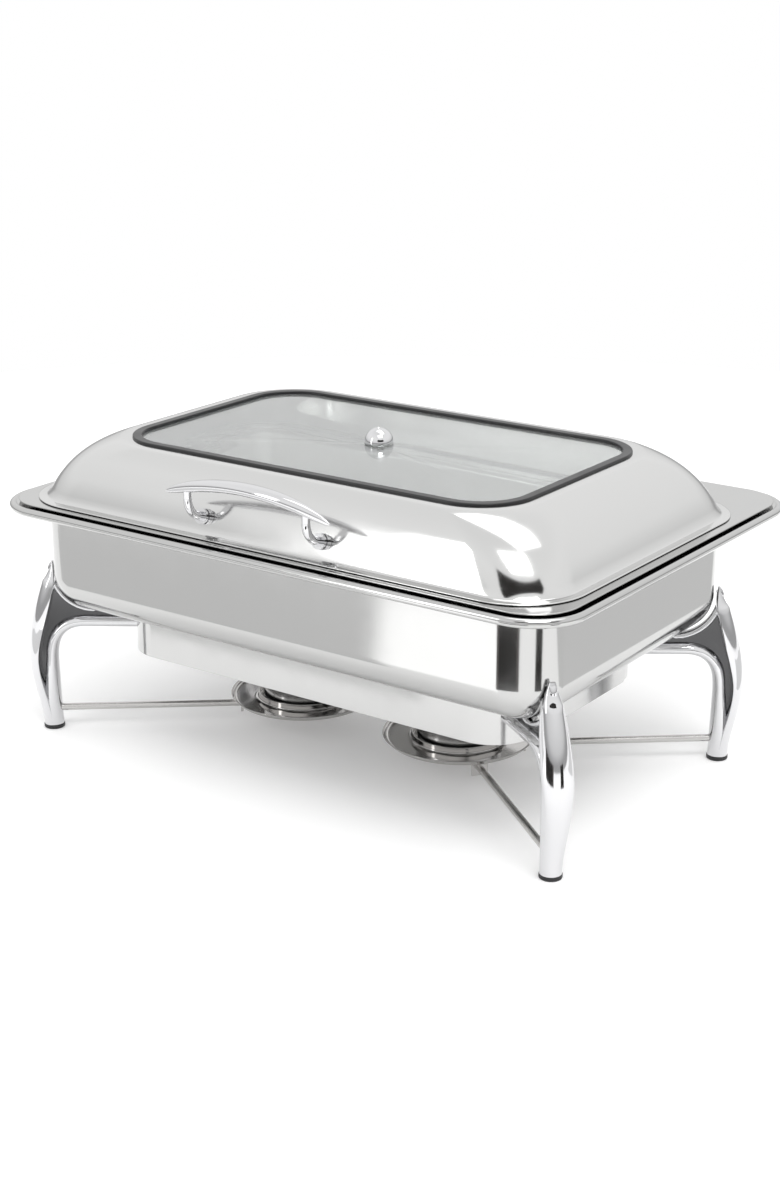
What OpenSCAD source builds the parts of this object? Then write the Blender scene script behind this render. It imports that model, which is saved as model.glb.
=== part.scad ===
// Rectangular buffet server: a polished steel water pan on a chrome stand,
// a full-size food pan in a cover frame, a glass-topped lid on a damped hinge,
// and two fuel cups on saucer trays between the legs.

/* [Food pan] */
// Length of the food pan's rim, the full catering size
food_rim_l = 530; // [480:1:600]
// Width of the food pan's rim
food_rim_w = 325; // [300:1:400]
// Corner radius of the food pan's rim
food_rim_r = 36; // [34:1:60]
// Width of the rim that hangs on the cover frame
food_rim_band = 13; // [11:0.5:16]
// Depth of the food pan under its rim
food_depth = 62; // [40:1:70]
// Radius between the food pan's walls and its floor
food_fillet = 14; // [8:1:20]
// Sheet thickness of the food pan
food_t = 0.9; // [0.7:0.1:1.5]

/* [Water pan] */
// Gap from the food pan's rim to the inside of the water pan's mouth, each side
mouth_gap = 5; // [4:0.5:9]
// How far the wall under the mouth stands in from the mouth
mouth_step = 3.5; // [3:0.5:5]
// Height of the flared mouth over the plain wall
mouth_h = 12; // [10:1:16]
// Corner radius of the plain wall
pan_r = 40; // [38:1:60]
// Radius between the water pan's walls and its floor
pan_fillet = 33; // [20:1:34]
// Depth of the water pan, from the shelf to the underside of the floor
pan_depth = 101; // [90:1:130]
// Sheet thickness of the water pan
pan_t = 1.2; // [0.8:0.1:2]
// Width of the shelf past the mouth at both ends
shelf_end = 26; // [24:1:40]
// Width of the shelf at the front
shelf_front = 24; // [22:1:40]
// Width of the shelf at the rear, which carries the hinge
shelf_rear = 73; // [70:1:90]
// Corner radius of the shelf
shelf_r = 50; // [46:1:60]
// Radius of the bead round the shelf
bead_r = 3.8; // [3:0.1:5]

/* [Cover frame] */
// Thickness of the cover frame's sheet
frame_t = 1.4; // [1:0.1:2]
// Shadow gap between the shelf and the cover frame
frame_lift = 2.4; // [1.5:0.1:4]
// Gap between the bead and the edge of the cover frame
frame_edge_gap = 1; // [0.5:0.1:3]
// Gap round the food pan's rim in the cover frame
food_gap = 1; // [0.5:0.1:2]
// Depth of the seat that the food pan's rim hangs in
seat_depth = 5; // [3:0.5:7]

/* [Lid] */
// How far the lid's flange reaches past the food pan's rim, at the ends and sides
lid_margin = 15.5; // [13:0.5:17]
// Width of the flat flange round the lid
flange_w = 9; // [6:0.5:10]
// Corner radius of the flange
flange_r = 60; // [55:1:70]
// Height of the lid's curved side
dome_h = 54; // [40:1:80]
// Run of the lid's curved side at the ends, from flange to crown
dome_run_x = 54; // [40:1:70]
// Run of the lid's curved side at the front and back
dome_run_y = 31; // [25:1:45]
// Width of the flat crown outside the window's seal
crown_margin = 12; // [8:1:18]
// Corner radius of the window's seal
seal_r = 50; // [40:1:60]
// Sheet thickness of the lid
lid_t = 1.2; // [0.8:0.1:2]
// Gap between the lid's flange and the cover frame
lid_gap = 0.4; // [0.3:0.1:1]

/* [Window] */
// Width of the seal's top lip
seal_w = 8.5; // [7:0.5:12]
// How far the seal stands over the crown
seal_top = 2; // [1:0.5:4]
// Thickness of the glass
glass_t = 3.4; // [3:0.1:5]
// Radius of the vent knob
vent_r = 13; // [9:0.5:18]

/* [Handle] */
// Distance between the two posts
post_span = 124; // [90:1:180]
// Radius of a post
post_r = 3.6; // [3:0.1:5]
// Radius of a post's bend
post_bend = 19; // [14:1:26]
// Height of the posts over the lid's flange
post_up = 15; // [12:1:22]
// Rise of a post from its bend into the bar
post_rise = 11; // [8:0.5:20]
// Length of the bar
bar_l = 172; // [150:1:230]
// Width of the bar at its middle
bar_w = 15; // [12:0.5:20]
// Thickness of the bar
bar_t = 8; // [6:0.5:12]
// How far the bar's ends droop below its middle
bar_droop = 15; // [6:1:20]

/* [Hinge] */
// Length of the hinge housing
housing_l = 176; // [160:1:240]
// Radius of the housing's round top
housing_r = 22; // [20:0.5:24]
// Sheet thickness of the housing
housing_t = 1.5; // [1:0.1:2.5]
// Gap between the lid's flange and the housing
housing_gap = 8; // [7.5:0.5:12]
// Height of the hinge axis over the cover frame
axis_up = 10; // [9.5:0.5:14]
// Radius of the hinge pin
pin_r = 4; // [3:0.1:5]
// Running clearance round the hinge pin, on the radius
pin_gap = 0.05; // [0.03:0.01:0.1]
// Distance between the middles of the two lid arms
arm_span = 108; // [96:1:120]
// Width of a lid arm
arm_w = 16; // [10:1:18]
// Gap each side of a lid arm in its slot
arm_gap = 1.5; // [1:0.1:3]
// Radius of the damper's barrel
damper_r = 15; // [10:0.5:17]
// Length of the damper's barrel
damper_l = 66; // [40:1:70]

/* [Stand] */
// How far a foot's middle stands out past the water pan's end wall
foot_past = 5.3; // [0:0.1:12]
// How far a foot's middle stands in from the water pan's long wall
foot_in = 18.2; // [12:0.1:26]
// Radius of a leg at the foot
foot_r = 9.3; // [8:0.1:12]
// Thickness of the rubber foot that shows
foot_h = 4; // [3:0.5:8]
// How far the apron stands in from the water pan's end walls
apron_in_x = 55.7; // [48:0.1:64]
// How far the apron stands in from the water pan's long walls
apron_in_y = 47.2; // [40:0.1:56]
// Height of the apron
apron_h = 42; // [32:1:50]
// Height of the apron's lower edge over the table
apron_z = 82; // [74:1:100]
// Outer radius of the apron's corner bends
apron_r = 40; // [34:1:50]
// Sheet thickness of the apron
apron_t = 2; // [1.5:0.1:3]
// Length of the lap where the two apron halves meet
lap_l = 20; // [12:1:30]
// Width of a leg at its broadest
leg_w = 23; // [18:0.5:28]
// Height of a leg's tip over the apron's upper edge
leg_tip = 41; // [32:1:46]
// Gap between a leg and the water pan
leg_gap = 1.5; // [1:0.1:3]
// Radius of a brace rod
rod_r = 3.3; // [2.5:0.1:4]
// Height of the brace rods over the table
rod_z = 19.5; // [16:0.5:22]

/* [Fuel trays] */
// Distance from the middle to a tray's centre
tray_x = 88; // [76:1:120]
// Radius of a tray
tray_r = 69; // [60:1:74]
// Height of a tray's rim over the table
tray_z = 31; // [29:0.5:36]
// Gap between a fuel cup and the collar that holds it
cup_gap = 3.5; // [1:0.5:6]
// Radius of a fuel cup
cup_r = 38; // [32:0.5:42]
// Height of a fuel cup
cup_h = 33; // [24:1:40]
// Sheet thickness of trays and cups
tray_t = 1.2; // [0.8:0.1:2]

/* [Hidden] */
$fn = 96;

eps = 0.01;
seat_gap = 0.2;
chrome = [0.86, 0.87, 0.88];
steel = [0.78, 0.78, 0.77];
dark = [0.08, 0.08, 0.09];

// The stack of heights, from the table up.
apron_top = apron_z + apron_h;
pan_z = apron_top + seat_gap;
shelf_z = pan_z + pan_depth;
shelf_top = shelf_z + pan_t;
frame_z = shelf_top + frame_lift;
frame_top = frame_z + frame_t;
lid_z = frame_top + lid_gap;
dome_z = lid_z + lid_t;
crown_z = dome_z + dome_h;

// Half sizes in plan.
food_hx = food_rim_l / 2;
food_hy = food_rim_w / 2;
mouth_hx = food_hx + mouth_gap + pan_t;
mouth_hy = food_hy + mouth_gap + pan_t;
wall_hx = mouth_hx - mouth_step;
wall_hy = mouth_hy - mouth_step;
shelf_hx = mouth_hx + shelf_end;
shelf_front_y = mouth_hy + shelf_front;
shelf_rear_y = mouth_hy + shelf_rear;
shelf_hy = (shelf_front_y + shelf_rear_y) / 2;
shelf_cy = (shelf_rear_y - shelf_front_y) / 2;
frame_inset = 2 * bead_r + frame_edge_gap;
flange_hx = food_hx + lid_margin;
flange_hy = food_hy + lid_margin;
dome_hx = flange_hx - flange_w;
dome_hy = flange_hy - flange_w;
dome_r = flange_r - flange_w;
crown_hx = dome_hx - dome_run_x;
crown_hy = dome_hy - dome_run_y;
seal_hx = crown_hx - crown_margin;
seal_hy = crown_hy - crown_margin;
crown_r = seal_r + crown_margin;

// The lid's side is a curve with one control point, given as shares of run and rise.
side_run = 0.3;
side_rise = 0.77;
function curve(t, c) = 2 * t * (1 - t) * c + t * t;
function side_y(t) = dome_hy - dome_run_y * curve(t, side_run);
function side_z(t) = dome_z + dome_h * curve(t, side_rise);
function curve_slope(t, c) = 2 * (1 - 2 * t) * c + 2 * t;

// The handle's posts stand square to the lid's front where the curve reaches post_up.
function curve_at(v, c) = (-c + sqrt(c * c + (1 - 2 * c) * v)) / (1 - 2 * c);
post_t = curve_at(post_up / dome_h, side_rise);
post_y = side_y(post_t);
post_z = side_z(post_t);
post_tilt = atan2(dome_run_y * curve_slope(post_t, side_run), dome_h * curve_slope(post_t, side_rise));
collar_l = 9;
collar_rim = 7;
post_gap = 0.05;
post_stub = collar_l + post_gap;
post_shoulder = 0.5;
tenon_r = post_r - 0.2;
post_turn = 90 - post_tilt;
post_out = post_stub * cos(post_tilt) + post_bend * (1 - sin(post_tilt));
bar_y = post_y + post_out;
post_bend_z = post_z + post_stub * sin(post_tilt) + post_bend * cos(post_tilt);
post_top_z = post_bend_z + post_rise;
bar_radius = (pow(bar_l / 2, 2) + pow(bar_droop, 2)) / (2 * bar_droop);
bar_drop_at_post = bar_radius - sqrt(pow(bar_radius, 2) - pow(post_span / 2, 2));
bar_mid_z = post_top_z + bar_drop_at_post;
handle_front_y = bar_y + bar_w / 2;

// The origin is on the table, midway between the handle's front and the rear bead.
origin_y = (shelf_rear_y - handle_front_y) / 2;

// The hinge's axis.
axis_y = flange_hy + housing_gap + housing_r;
axis_z = frame_top + axis_up;
bracket_r = housing_r - housing_t - 1.2;
bracket_w = 6;
bracket_x = arm_span / 2 + arm_w / 2 + arm_gap + 2 + bracket_w / 2;

// The stand follows the water pan's walls, and a collar follows its cup.
foot_x = wall_hx + foot_past;
foot_y = wall_hy - foot_in;
apron_l = 2 * (wall_hx - apron_in_x);
apron_w = 2 * (wall_hy - apron_in_y);
collar_r = cup_r + cup_gap;

// Corner bends of the apron, and the legs that point at their centres.
bend_x = apron_l / 2 - apron_r;
bend_y = apron_w / 2 - apron_r;
leg_angle = atan2(foot_y - bend_y, foot_x - bend_x);
leg_reach = norm([foot_x - bend_x, foot_y - bend_y]) - apron_r;
bolt_z = apron_top - apron_h / 3;
bolt_r = 3;
clamp_t = 3;
screw_r = 2;
screw_turn = 62;
screw_z = apron_top - 8;
lap_y = bend_y - 1;

// Braces run from each foot to the centre of the nearer tray.
brace_l = norm([foot_x - tray_x, foot_y]);
brace_angle = atan2(foot_y, foot_x - tray_x);
tab_t = 2.5;
tab_w = 15;
tab_at = tray_r - 9;
tray_floor = tray_z - 4.5;
well_floor = tray_z - 4;
cup_z = well_floor + seat_gap;

// Everything is drawn about the dish's own middle, then moved to the origin.
module placed() {
    translate([0, -origin_y, 0]) children();
}

// A rectangle with round corners, from its half sizes.
module rounded(hx, hy, r) {
    square([2 * (hx - r), 2 * hy], center = true);
    square([2 * hx, 2 * (hy - r)], center = true);
    for (sx = [-1, 1], sy = [-1, 1])
        translate([sx * (hx - r), sy * (hy - r)]) circle(r);
}

// A profile carried round a rounded rectangle. Its x is measured outward from the
// centres of the corner arcs, and its y is height.
module carried(cx, cy) {
    for (k = [0, 1])
        rotate([0, 0, 180 * k]) {
            translate([cx, 0, 0]) rotate([90, 0, 0])
                linear_extrude(2 * cy, center = true) children();
            rotate([0, 0, 90]) translate([cy, 0, 0]) rotate([90, 0, 0])
                linear_extrude(2 * cx, center = true) children();
            translate([cx, cy, 0]) rotate_extrude(angle = 90) children();
            translate([-cx, cy, 0]) rotate([0, 0, 90]) rotate_extrude(angle = 90) children();
        }
}

// The section of a sheet bent from floor to wall, with the bend's centre at x.
module bent_floor(x, z, r, t) {
    intersection() {
        translate([x, z]) difference() {
            circle(r);
            circle(r - t);
        }
        translate([x, z - r]) square([r, r]);
    }
}

// One of the four corners of the stand: its own +X points outward along its leg.
module at_foot(sx, sy) {
    translate([sx * foot_x, sy * foot_y, 0])
        rotate([0, 0, sy * (90 - sx * (90 - leg_angle))]) children();
}

module at_bend(sx, sy) {
    translate([sx * bend_x, sy * bend_y, 0])
        rotate([0, 0, sy * (90 - sx * (90 - leg_angle))]) children();
}

module at_all_bends() {
    for (sx = [-1, 1], sy = [-1, 1]) at_bend(sx, sy) children();
}

// Holes for the leg bolt and the clamp screw, in a corner's own frame.
module bolt_line(r, from, to) {
    translate([from, 0, bolt_z]) rotate([0, 90, 0]) cylinder(r = r, h = to - from);
}

// The clamp screws stand on the bend towards the long faces.
module at_clamp_screws() {
    for (sx = [-1, 1], sy = [-1, 1])
        translate([sx * bend_x, sy * bend_y, screw_z])
            rotate([0, 0, sy * (90 - sx * (90 - screw_turn))]) rotate([0, 90, 0]) children();
}

module apron_band(inset) {
    translate([0, 0, apron_z]) linear_extrude(apron_h) difference() {
        rounded(apron_l / 2 - inset, apron_w / 2 - inset, apron_r - inset);
        rounded(apron_l / 2 - inset - apron_t, apron_w / 2 - inset - apron_t,
            apron_r - inset - apron_t);
    }
}

module apron_holes() {
    at_all_bends() bolt_line(bolt_r + 0.1, 0, apron_r + 5);
    at_clamp_screws() cylinder(r = screw_r + 0.1, h = apron_r + 5);
}

module apron_front() {
    corner = 8;
    color(chrome) placed() difference() {
        apron_band(0);
        translate([-apron_l, lap_y, 0]) cube([2 * apron_l, apron_w, apron_top + 10]);
        for (s = [-1, 1]) translate([s * apron_l / 2, lap_y - corner, apron_z + corner])
            rotate([0, 90, 0]) difference() {
                translate([0, 0, -10]) cube([corner + 1, corner + 1, 20]);
                translate([0, 0, -11]) cylinder(r = corner, h = 22);
            }
        apron_holes();
    }
}

module apron_rear() {
    color(chrome) placed() difference() {
        apron_band(apron_t + 0.1);
        translate([-apron_l, lap_y - lap_l - apron_w, 0])
            cube([2 * apron_l, apron_w, apron_top + 10]);
        apron_holes();
    }
}

// Curved plates inside the bends, which the leg bolts pull against.
module corner_clamps() {
    color(steel) placed() for (sy = [-1, 1], sx = [-1, 1]) {
        outer = apron_r - apron_t - 0.1 - (sy > 0 ? apron_t + 0.1 : 0);
        difference() {
            at_bend(sx, sy) rotate([0, 0, -32]) rotate_extrude(angle = 64)
                translate([outer - clamp_t, apron_z + 4]) square([clamp_t, apron_h - 6]);
            at_bend(sx, sy) bolt_line(bolt_r + 0.1, 0, apron_r + 5);
            at_clamp_screws() cylinder(r = screw_r, h = apron_r + 5);
        }
    }
}

module clamp_screws() {
    head_r = 4;
    color(chrome) placed() at_clamp_screws() {
        translate([0, 0, apron_r - apron_t - clamp_t - 4]) cylinder(r = screw_r, h = apron_t + clamp_t + 4);
        translate([0, 0, apron_r]) intersection() {
            translate([0, 0, -1.6]) sphere(4.4);
            cylinder(r = head_r, h = 5);
        }
    }
}

// The bolts' flat heads touch the hollow side of the clamps at two edges.
module leg_bolts() {
    head_r = 5;
    head_h = 4;
    seat = apron_r - 2 * apron_t - 0.2 - clamp_t;
    color(steel) placed() for (sy = [-1, 1], sx = [-1, 1]) at_bend(sx, sy) {
        hollow = sy > 0 ? seat : seat + apron_t + 0.1;
        face = sqrt(pow(hollow, 2) - pow(head_r, 2)) - eps;
        bolt_line(bolt_r, face - eps, apron_r + 12);
        bolt_line(head_r, face - head_h, face);
    }
}

// A leg's two outlines: from the side, and face on. Each is made of curves with
// control points, in a frame where +X points outward and the foot is at 0.
function bezier(a, b, c, d, n) = [for (i = [0:n]) let(t = i / n, u = 1 - t)
    u * u * u * a + 3 * u * u * t * b + 3 * u * t * t * c + t * t * t * d];
leg_steps = 8;
tip_z = apron_top + leg_tip;
belly_z = apron_z + 4;
belly_x = 21.5;
heel_z = apron_z - 1;
arm_low = apron_z + 16;
arm_high = apron_top - 3;
leg_side = concat(
    bezier([foot_r, foot_h], [foot_r + 2, 30], [belly_x, belly_z * 0.6], [belly_x, belly_z], leg_steps),
    bezier([belly_x, belly_z], [belly_x, belly_z + 34], [9, tip_z - 14], [-5, tip_z], leg_steps),
    bezier([-7, tip_z - 1], [-18, tip_z - 22], [-26, arm_high + 6], [-44, arm_high], leg_steps),
    [[-leg_reach - apron_r, arm_high], [-leg_reach - apron_r, arm_low]],
    bezier([-leg_reach, arm_low], [-24, arm_low - 1], [-15, heel_z + 9], [-11, heel_z], leg_steps),
    bezier([-11, heel_z], [-4.5, heel_z - 16], [-6.5, 36], [-foot_r, foot_h], leg_steps));
leg_face = concat(
    bezier([foot_r, foot_h], [foot_r + 0.5, 40], [leg_w / 2, 50], [leg_w / 2, belly_z + 10], leg_steps),
    bezier([leg_w / 2, belly_z + 10], [leg_w / 2, belly_z + 45], [7, tip_z - 8], [0, tip_z + 1], leg_steps),
    bezier([0, tip_z + 1], [-7, tip_z - 8], [-leg_w / 2, belly_z + 45], [-leg_w / 2, belly_z + 10], leg_steps),
    bezier([-leg_w / 2, belly_z + 10], [-leg_w / 2, 50], [-foot_r - 0.5, 40], [-foot_r, foot_h], leg_steps));

module leg_blank() {
    intersection() {
        rotate([90, 0, 0]) linear_extrude(2 * leg_w, center = true) polygon(leg_side);
        translate([-leg_reach - apron_r, 0, 0]) rotate([90, 0, 90])
            linear_extrude(leg_reach + apron_r + 3 * foot_r) polygon(leg_face);
        union() {
            cylinder(r = foot_r, h = 10);
            translate([0, 0, 10]) cylinder(r1 = foot_r, r2 = 30, h = 68);
            translate([-200, -50, 78 - eps]) cube([300, 100, 200]);
        }
    }
}

// The outside of the water pan's corner, grown by a gap.
module pan_corner(gap) {
    rise = pan_z + pan_fillet;
    translate([wall_hx - pan_r, wall_hy - pan_r, 0]) rotate_extrude() {
        translate([0, rise]) square([pan_r + gap, pan_depth]);
        translate([0, pan_z - gap]) square([pan_r - pan_fillet, pan_fillet + gap + 1]);
        intersection() {
            translate([pan_r - pan_fillet, rise]) circle(pan_fillet + gap);
            translate([0, pan_z - gap]) square([pan_r + gap, pan_fillet + gap + 1]);
        }
    }
}

module leg(sx, sy) {
    color(chrome) placed() difference() {
        at_foot(sx, sy) leg_blank();
        at_bend(sx, sy) cylinder(r = apron_r + eps, h = 300);
        mirror([sx < 0 ? 1 : 0, 0, 0]) mirror([0, sy < 0 ? 1 : 0, 0]) pan_corner(leg_gap);
        at_bend(sx, sy) bolt_line(bolt_r, 0, apron_r + 12);
        at_foot(sx, sy) translate([0, 0, foot_h - 1]) cylinder(r = 4, h = 9);
        at_brace(sx, sy) translate([0, 0, rod_z]) rotate([0, 90, 0])
            cylinder(r = rod_r, h = 30);
    }
}

module foot(sx, sy) {
    color(dark) placed() translate([sx * foot_x, sy * foot_y, 0]) {
        cylinder(r = foot_r + 0.4, h = foot_h);
        translate([0, 0, foot_h - eps]) cylinder(r = 4, h = 8 + eps);
    }
}

// A brace's own frame starts at its foot and points at the tray's centre.
module at_brace(sx, sy) {
    translate([sx * foot_x, sy * foot_y, 0])
        rotate([0, 0, sy * (-90 - sx * (90 - brace_angle))]) children();
}

module brace(sx, sy) {
    color(chrome) placed() at_brace(sx, sy) difference() {
        translate([foot_r * 0.4, 0, rod_z]) rotate([0, 90, 0])
            cylinder(r = rod_r, h = brace_l - tab_at - foot_r * 0.4);
        translate([0, 0, 0]) cylinder(r = foot_r * 0.4 + eps, h = 40);
    }
}

// Small plates under the trays that the braces are welded to.
module brace_tabs() {
    top = tray_floor - tray_t;
    color(steel) placed() for (sx = [-1, 1], sy = [-1, 1]) at_brace(sx, sy)
        translate([brace_l - tab_at, -tab_w / 2, rod_z - 6]) {
            cube([tab_t, tab_w, top - rod_z + 6]);
            translate([0, 0, top - rod_z + 6 - tab_t]) cube([14, tab_w, tab_t]);
        }
}

// A saucer with a turned-up rim, and a collar round its middle for the fuel cup.
module tray(side) {
    t = tray_t;
    out = collar_r + 1.6;
    color(chrome) placed() translate([side * tray_x, 0, 0]) rotate_extrude() {
        polygon([[0, well_floor - t], [0, well_floor], [collar_r, well_floor],
            [collar_r, well_floor + 6], [out, well_floor + 6], [out, well_floor + 1],
            [tray_r - 5, tray_floor], [tray_r - t, tray_z], [tray_r, tray_z],
            [tray_r - 3.6, tray_floor - t], [out + 4, tray_floor - t]]);
    }
}

module fuel_cup(side) {
    t = tray_t;
    color(steel) placed() translate([side * tray_x, 0, cup_z]) rotate_extrude() {
        square([cup_r - 5, t]);
        bent_floor(cup_r - 5, 5, 5, t);
        translate([cup_r - t, 5]) square([t, cup_h - 5]);
        translate([cup_r - 4, cup_h - t]) square([4, t]);
    }
}

// A round cover that swings aside on a rivet at the cup's edge.
cover_pivot = cup_r - 5;
cover_z = cup_z + cup_h + 0.4;
module flame_cover(side) {
    color(steel) placed() translate([side * tray_x, 0, cover_z]) {
        cylinder(r = cup_r - 1, h = 1);
        translate([side * cover_pivot, 0, 1 - eps]) cylinder(r = 3, h = 1.6);
        translate([-side * (cup_r - 9), 0, 1 - eps]) cylinder(r = 3, h = 7);
        translate([-side * (cup_r - 9), 0, 9]) sphere(4.5);
    }
}

module water_pan() {
    r_in = pan_r - pan_fillet;
    wall_top = shelf_z - mouth_h;
    cx = wall_hx - pan_r;
    cy = wall_hy - pan_r;
    color(steel) placed() {
        translate([0, 0, pan_z]) linear_extrude(pan_t) rounded(cx + r_in, cy + r_in, r_in);
        carried(cx, cy) {
            bent_floor(r_in, pan_z + pan_fillet, pan_fillet, pan_t);
            translate([pan_r - pan_t, pan_z + pan_fillet])
                square([pan_t, wall_top - pan_z - pan_fillet]);
            polygon([[pan_r - pan_t, wall_top], [pan_r, wall_top],
                [pan_r + mouth_step, wall_top + 7], [pan_r + mouth_step, shelf_top],
                [pan_r + mouth_step - pan_t, shelf_top], [pan_r + mouth_step - pan_t, wall_top + 7]]);
        }
        translate([0, 0, shelf_z]) linear_extrude(pan_t) difference() {
            translate([0, shelf_cy]) rounded(shelf_hx - bead_r, shelf_hy - bead_r, shelf_r - bead_r);
            rounded(cx + pan_r + mouth_step - eps, cy + pan_r + mouth_step - eps,
                pan_r + mouth_step - eps);
        }
        translate([0, shelf_cy, 0]) carried(shelf_hx - shelf_r, shelf_hy - shelf_r)
            translate([shelf_r - bead_r, shelf_top + 1.6 - bead_r]) circle(bead_r);
    }
}

// The cover frame's opening, and the seat that hangs under it for the food pan's rim.
module cover_frame() {
    hx = food_hx + food_gap;
    hy = food_hy + food_gap;
    r = food_rim_r + food_gap;
    t = 1;
    ledge = food_rim_band - 3;
    color(steel) placed() {
        difference() {
            union() {
                translate([0, shelf_cy, frame_z]) linear_extrude(frame_t)
                    rounded(shelf_hx - frame_inset, shelf_hy - frame_inset, shelf_r - frame_inset);
                translate([0, 0, frame_top - seat_depth - t]) linear_extrude(seat_depth)
                    rounded(hx + t, hy + t, r + t);
                translate([0, 0, shelf_top]) linear_extrude(frame_lift + eps) difference() {
                    rounded(mouth_hx + 6, mouth_hy + 6, pan_r + 10);
                    rounded(mouth_hx + 3, mouth_hy + 3, pan_r + 7);
                }
            }
            translate([0, 0, frame_top - seat_depth]) linear_extrude(seat_depth + 1)
                rounded(hx, hy, r);
            translate([0, 0, frame_top - seat_depth - 5]) linear_extrude(seat_depth + 6)
                rounded(hx - ledge, hy - ledge, r - ledge);
            at_bracket_screws() cylinder(r = screw_r, h = 30, center = true);
        }
    }
}

module food_pan() {
    rim_z = frame_top - seat_depth;
    r_wall = food_rim_r - food_rim_band;
    r_in = r_wall - food_fillet;
    cx = food_hx - food_rim_r;
    cy = food_hy - food_rim_r;
    floor_z = rim_z - food_depth;
    color([0.82, 0.82, 0.81]) placed() {
        translate([0, 0, floor_z]) linear_extrude(food_t) rounded(cx + r_in, cy + r_in, r_in);
        carried(cx, cy) {
            bent_floor(r_in, floor_z + food_fillet, food_fillet, food_t);
            translate([r_wall - food_t, floor_z + food_fillet])
                square([food_t, food_depth - food_fillet + food_t]);
            translate([r_wall - eps, rim_z]) square([food_rim_band + eps, food_t]);
        }
    }
}

// Hinge: a bent cover with closed ends and two slots for the lid's arms.
module housing_outline(r, base) {
    intersection() {
        union() {
            circle(r);
            translate([-r, base]) square([2 * r, -base]);
        }
        translate([-r, base]) square([2 * r, r - base]);
    }
}

module at_axis(x) {
    translate([x, axis_y, axis_z]) rotate([90, 0, 90]) children();
}

module hinge_housing() {
    slot = arm_w + 2 * arm_gap;
    color(steel) placed() difference() {
        at_axis(-housing_l / 2) linear_extrude(housing_l) housing_outline(housing_r, -axis_up);
        at_axis(-housing_l / 2 + housing_t) linear_extrude(housing_l - 2 * housing_t)
            housing_outline(housing_r - housing_t, -axis_up - 1);
        for (s = [-1, 1]) translate([s * arm_span / 2 - slot / 2, axis_y - housing_r - 1, frame_top - 1])
            cube([slot, housing_r + 11, housing_r + axis_up + 3]);
        at_housing_screws() cylinder(r = screw_r + 0.1, h = 20, center = true);
    }
}

module at_bracket_screws() {
    for (s = [-1, 1]) translate([s * (bracket_x + bracket_w / 2 + 5), axis_y, frame_top])
        children();
}

module at_housing_screws() {
    for (s = [-1, 1]) translate([s * housing_l / 2, axis_y, axis_z + 12])
        rotate([0, 90 * s, 0]) children();
}

module hinge_brackets() {
    color(steel) placed() for (s = [-1, 1]) difference() {
        union() {
            at_axis(s * bracket_x - bracket_w / 2) linear_extrude(bracket_w)
                housing_outline(bracket_r, -axis_up);
            translate([s * (bracket_x + bracket_w / 2) + (s > 0 ? -eps : -10 + eps), axis_y - 12, frame_top])
                cube([10, 24, 3]);
        }
        at_axis(s * bracket_x - bracket_w) cylinder(r = pin_r + pin_gap, h = 2 * bracket_w);
        at_bracket_screws() cylinder(r = screw_r + 0.1, h = 30, center = true);
        at_housing_screws() cylinder(r = screw_r, h = 60, center = true);
    }
}

module bracket_screws() {
    color(steel) placed() at_bracket_screws() {
        translate([0, 0, -frame_t - 2]) cylinder(r = screw_r, h = frame_t + 5 + eps);
        translate([0, 0, 3]) cylinder(r = 3.6, h = 2.4);
    }
}

module housing_screws() {
    reach = housing_l / 2 - bracket_x + bracket_w / 2 - 1;
    color(chrome) placed() at_housing_screws() {
        translate([0, 0, -reach]) cylinder(r = screw_r, h = reach + eps);
        intersection() {
            translate([0, 0, -2]) sphere(4.2);
            cylinder(r = 3.6, h = 4);
        }
    }
}

// A sealed barrel of thick oil that slows the lid as it closes.
module hinge_damper() {
    color(dark) placed() difference() {
        union() {
            at_axis(-damper_l / 2) cylinder(r = damper_r, h = damper_l);
            translate([-damper_l / 2 + 6, axis_y - 13, frame_top])
                cube([damper_l - 12, 26, axis_up - 8]);
            translate([-damper_l / 2 + 6, axis_y - 8, frame_top]) cube([damper_l - 12, 16, axis_up]);
        }
        translate([-damper_l, axis_y - 50, frame_top - 50]) cube([2 * damper_l, 100, 50]);
        at_axis(-damper_l) cylinder(r = pin_r + pin_gap, h = 2 * damper_l);
    }
}

module hinge_pin() {
    half = bracket_x + bracket_w / 2 + 3;
    color(steel) placed() at_axis(-half) cylinder(r = pin_r, h = 2 * half);
}

// An arm grips the pin and lies on the lid's rear flange.
arm_hub = 9;
rivet_y = flange_hy - 5;
module lid_arm(side) {
    top = dome_z + 0.05;
    color(steel) placed() difference() {
        union() {
            at_axis(side * arm_span / 2 - arm_w / 2) cylinder(r = arm_hub, h = arm_w);
            at_axis(side * arm_span / 2 - arm_w / 2) linear_extrude(arm_w)
                polygon([[0, -arm_hub + 1], [0, 7], [rivet_y + 2 - axis_y, top + 6 - axis_z],
                    [rivet_y - 3.5 - axis_y, top + 2.5 - axis_z], [rivet_y - 3.5 - axis_y, top - axis_z],
                    [flange_hy + 1 - axis_y, top - axis_z]]);
        }
        at_axis(side * arm_span / 2 - arm_w) cylinder(r = pin_r, h = 2 * arm_w);
        at_rivets() cylinder(r = 1.6, h = 30, center = true);
    }
}

module at_rivets() {
    for (s = [-1, 1], k = [-1, 1])
        translate([s * arm_span / 2 + k * 4.5, rivet_y, dome_z]) children();
}

module arm_rivets() {
    color(steel) placed() at_rivets() translate([0, 0, -lid_t]) cylinder(r = 1.6, h = 9.2);
}

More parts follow.
